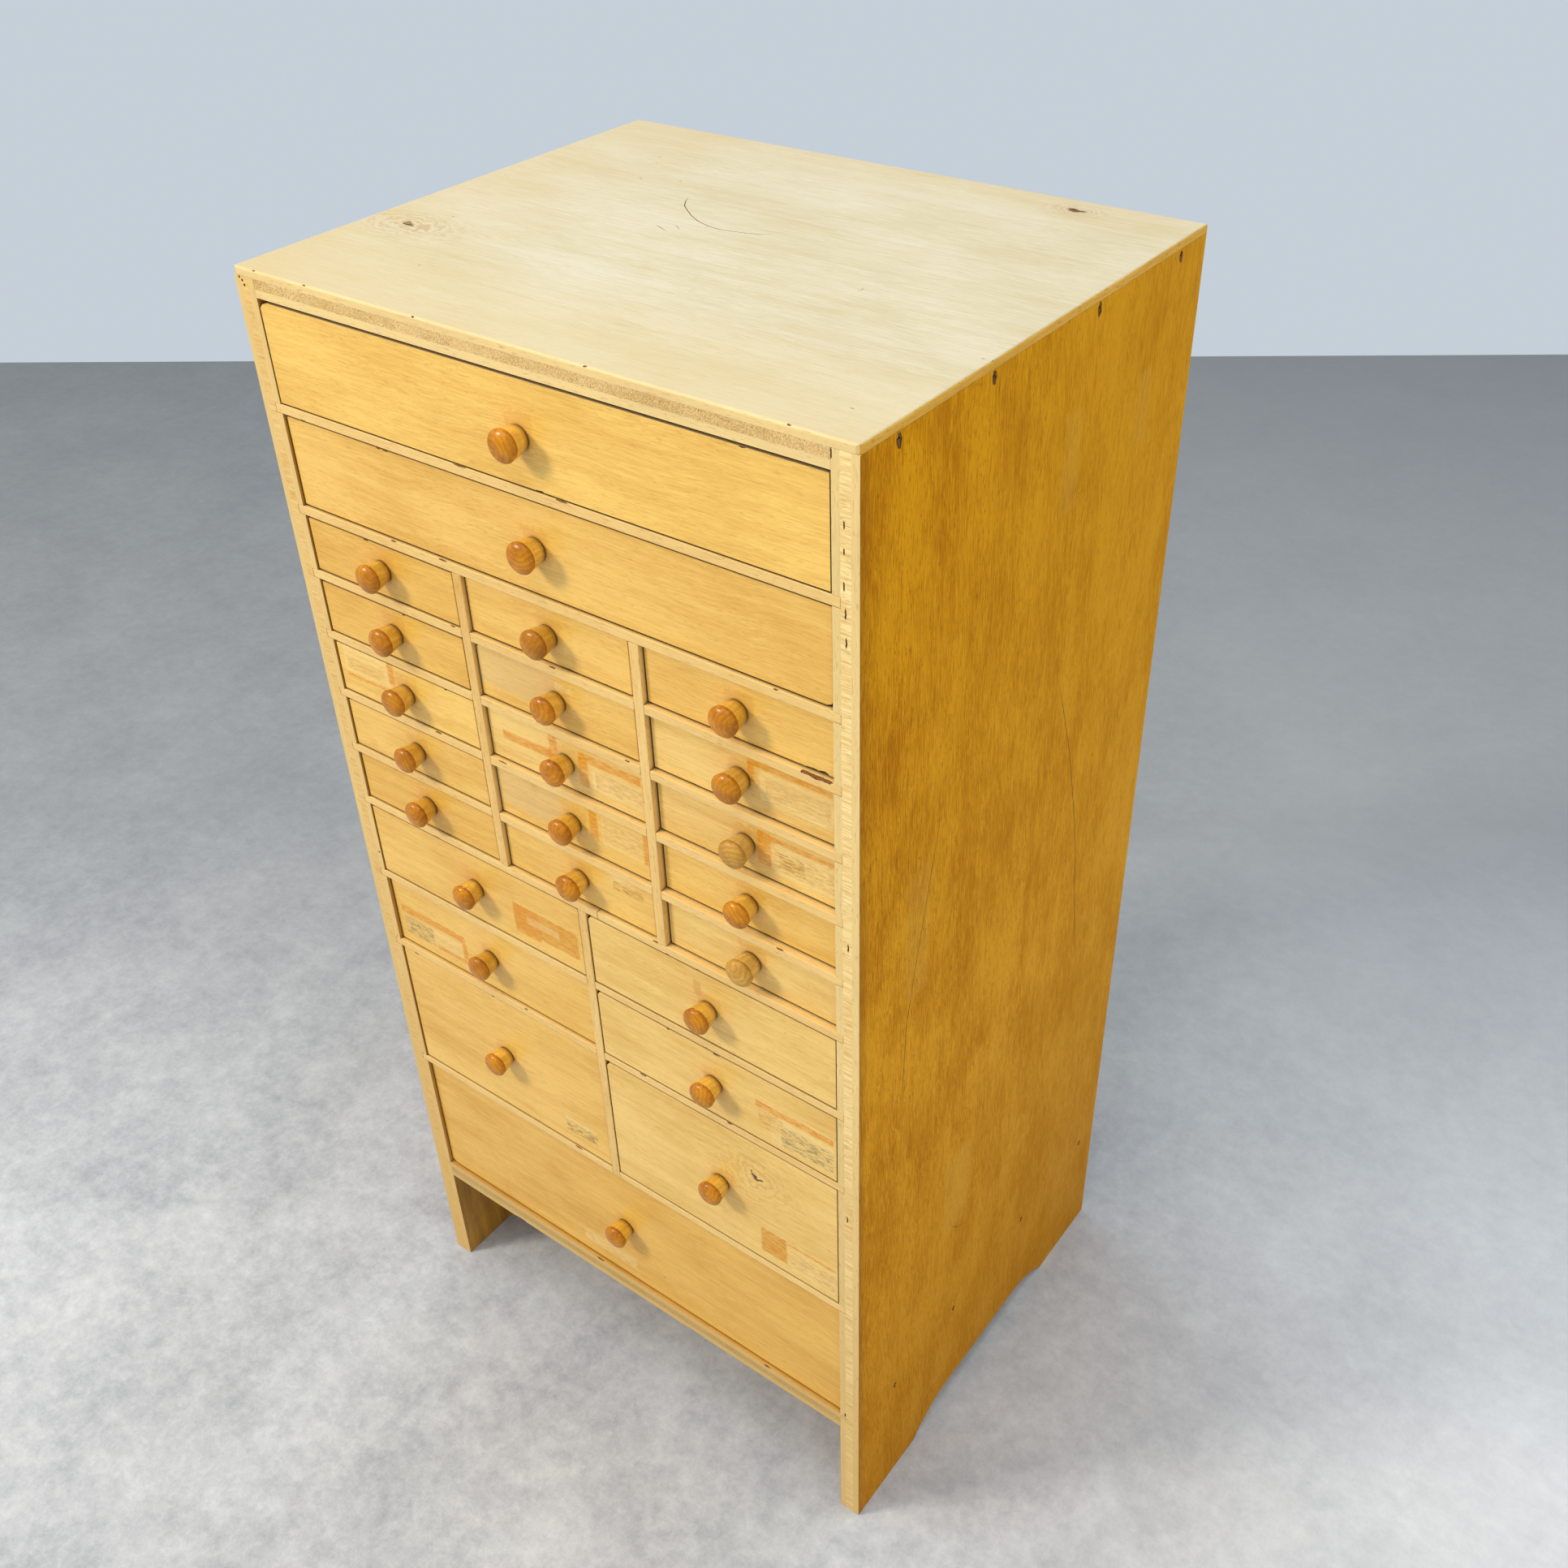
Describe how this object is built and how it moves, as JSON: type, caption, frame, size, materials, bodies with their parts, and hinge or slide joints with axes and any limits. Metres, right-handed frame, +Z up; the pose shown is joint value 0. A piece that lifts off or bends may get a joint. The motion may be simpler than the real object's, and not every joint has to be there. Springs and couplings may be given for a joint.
{
  "type": "parts cabinet",
  "caption": "Tall standing cabinet of sliding drawers in three widths, with turned knobs, on side panels cut to arched feet, for sorting watch and clock parts",
  "frame": {"origin": "On the floor, under the middle of the closed cabinet, knobs included", "axes": "+Z up, drawer fronts and knobs face -Y, +X to the right as seen from the front"},
  "size_m": [0.43, 0.3682, 0.875],
  "materials": {
    "varnished_board": "satin",
    "shelf_wood": "satin",
    "drawer_wood": "satin",
    "back_board": "matt",
    "steel_brads": "dull"
  },
  "bodies": {
    "carcass": {"back_panel": "back_board", "bottom_board": "varnished_board", "brads_left": "steel_brads", "brads_right": "steel_brads", "divider_half": "shelf_wood", "divider_small_left": "shelf_wood", "divider_small_right": "shelf_wood", "shelf_under_deep": "shelf_wood", "shelf_under_half_1": "shelf_wood", "shelf_under_half_2": "shelf_wood", "shelf_under_second": "shelf_wood", "shelf_under_small_1": "shelf_wood", "shelf_under_small_2": "shelf_wood", "shelf_under_small_3": "shelf_wood", "shelf_under_small_4": "shelf_wood", "shelf_under_small_5_left": "shelf_wood", "shelf_under_small_5_right": "shelf_wood", "shelf_under_top": "shelf_wood", "side_panel_left": "varnished_board", "side_panel_right": "varnished_board", "top_panel": "varnished_board"},
    "drawer_top_body": {"drawer_top": "drawer_wood"},
    "drawer_second_body": {"drawer_second": "drawer_wood"},
    "drawer_small_1_left_body": {"drawer_small_1_left": "drawer_wood"},
    "drawer_small_1_middle_body": {"drawer_small_1_middle": "drawer_wood"},
    "drawer_small_1_right_body": {"drawer_small_1_right": "drawer_wood"},
    "drawer_small_2_left_body": {"drawer_small_2_left": "drawer_wood"},
    "drawer_small_2_middle_body": {"drawer_small_2_middle": "drawer_wood"},
    "drawer_small_2_right_body": {"drawer_small_2_right": "drawer_wood"},
    "drawer_small_3_left_body": {"drawer_small_3_left": "drawer_wood"},
    "drawer_small_3_middle_body": {"drawer_small_3_middle": "drawer_wood"},
    "drawer_small_3_right_body": {"drawer_small_3_right": "drawer_wood"},
    "drawer_small_4_left_body": {"drawer_small_4_left": "drawer_wood"},
    "drawer_small_4_middle_body": {"drawer_small_4_middle": "drawer_wood"},
    "drawer_small_4_right_body": {"drawer_small_4_right": "drawer_wood"},
    "drawer_small_5_left_body": {"drawer_small_5_left": "drawer_wood"},
    "drawer_small_5_middle_body": {"drawer_small_5_middle": "drawer_wood"},
    "drawer_small_5_right_body": {"drawer_small_5_right": "drawer_wood"},
    "drawer_half_1_left_body": {"drawer_half_1_left": "drawer_wood"},
    "drawer_half_1_right_body": {"drawer_half_1_right": "drawer_wood"},
    "drawer_half_2_left_body": {"drawer_half_2_left": "drawer_wood"},
    "drawer_half_2_right_body": {"drawer_half_2_right": "drawer_wood"},
    "drawer_deep_left_body": {"drawer_deep_left": "drawer_wood"},
    "drawer_deep_right_body": {"drawer_deep_right": "drawer_wood"},
    "drawer_bottom_body": {"drawer_bottom": "drawer_wood"}
  },
  "joints": [
    {"name": "drawer_top_slide", "type": "slide", "parent": "carcass", "child": "drawer_top_body", "axis": [0, -1, 0], "range_m": [0, 0.25]},
    {"name": "drawer_second_slide", "type": "slide", "parent": "carcass", "child": "drawer_second_body", "axis": [0, -1, 0], "range_m": [0, 0.25]},
    {"name": "drawer_small_1_left_slide", "type": "slide", "parent": "carcass", "child": "drawer_small_1_left_body", "axis": [0, -1, 0], "range_m": [0, 0.25]},
    {"name": "drawer_small_1_middle_slide", "type": "slide", "parent": "carcass", "child": "drawer_small_1_middle_body", "axis": [0, -1, 0], "range_m": [0, 0.25]},
    {"name": "drawer_small_1_right_slide", "type": "slide", "parent": "carcass", "child": "drawer_small_1_right_body", "axis": [0, -1, 0], "range_m": [0, 0.25]},
    {"name": "drawer_small_2_left_slide", "type": "slide", "parent": "carcass", "child": "drawer_small_2_left_body", "axis": [0, -1, 0], "range_m": [0, 0.25]},
    {"name": "drawer_small_2_middle_slide", "type": "slide", "parent": "carcass", "child": "drawer_small_2_middle_body", "axis": [0, -1, 0], "range_m": [0, 0.25]},
    {"name": "drawer_small_2_right_slide", "type": "slide", "parent": "carcass", "child": "drawer_small_2_right_body", "axis": [0, -1, 0], "range_m": [0, 0.25]},
    {"name": "drawer_small_3_left_slide", "type": "slide", "parent": "carcass", "child": "drawer_small_3_left_body", "axis": [0, -1, 0], "range_m": [0, 0.25]},
    {"name": "drawer_small_3_middle_slide", "type": "slide", "parent": "carcass", "child": "drawer_small_3_middle_body", "axis": [0, -1, 0], "range_m": [0, 0.25]},
    {"name": "drawer_small_3_right_slide", "type": "slide", "parent": "carcass", "child": "drawer_small_3_right_body", "axis": [0, -1, 0], "range_m": [0, 0.25]},
    {"name": "drawer_small_4_left_slide", "type": "slide", "parent": "carcass", "child": "drawer_small_4_left_body", "axis": [0, -1, 0], "range_m": [0, 0.25]},
    {"name": "drawer_small_4_middle_slide", "type": "slide", "parent": "carcass", "child": "drawer_small_4_middle_body", "axis": [0, -1, 0], "range_m": [0, 0.25]},
    {"name": "drawer_small_4_right_slide", "type": "slide", "parent": "carcass", "child": "drawer_small_4_right_body", "axis": [0, -1, 0], "range_m": [0, 0.25]},
    {"name": "drawer_small_5_left_slide", "type": "slide", "parent": "carcass", "child": "drawer_small_5_left_body", "axis": [0, -1, 0], "range_m": [0, 0.25]},
    {"name": "drawer_small_5_middle_slide", "type": "slide", "parent": "carcass", "child": "drawer_small_5_middle_body", "axis": [0, -1, 0], "range_m": [0, 0.25]},
    {"name": "drawer_small_5_right_slide", "type": "slide", "parent": "carcass", "child": "drawer_small_5_right_body", "axis": [0, -1, 0], "range_m": [0, 0.25]},
    {"name": "drawer_half_1_left_slide", "type": "slide", "parent": "carcass", "child": "drawer_half_1_left_body", "axis": [0, -1, 0], "range_m": [0, 0.25]},
    {"name": "drawer_half_1_right_slide", "type": "slide", "parent": "carcass", "child": "drawer_half_1_right_body", "axis": [0, -1, 0], "range_m": [0, 0.25]},
    {"name": "drawer_half_2_left_slide", "type": "slide", "parent": "carcass", "child": "drawer_half_2_left_body", "axis": [0, -1, 0], "range_m": [0, 0.25]},
    {"name": "drawer_half_2_right_slide", "type": "slide", "parent": "carcass", "child": "drawer_half_2_right_body", "axis": [0, -1, 0], "range_m": [0, 0.25]},
    {"name": "drawer_deep_left_slide", "type": "slide", "parent": "carcass", "child": "drawer_deep_left_body", "axis": [0, -1, 0], "range_m": [0, 0.25]},
    {"name": "drawer_deep_right_slide", "type": "slide", "parent": "carcass", "child": "drawer_deep_right_body", "axis": [0, -1, 0], "range_m": [0, 0.25]},
    {"name": "drawer_bottom_slide", "type": "slide", "parent": "carcass", "child": "drawer_bottom_body", "axis": [0, -1, 0], "range_m": [0, 0.25]}
  ]
}
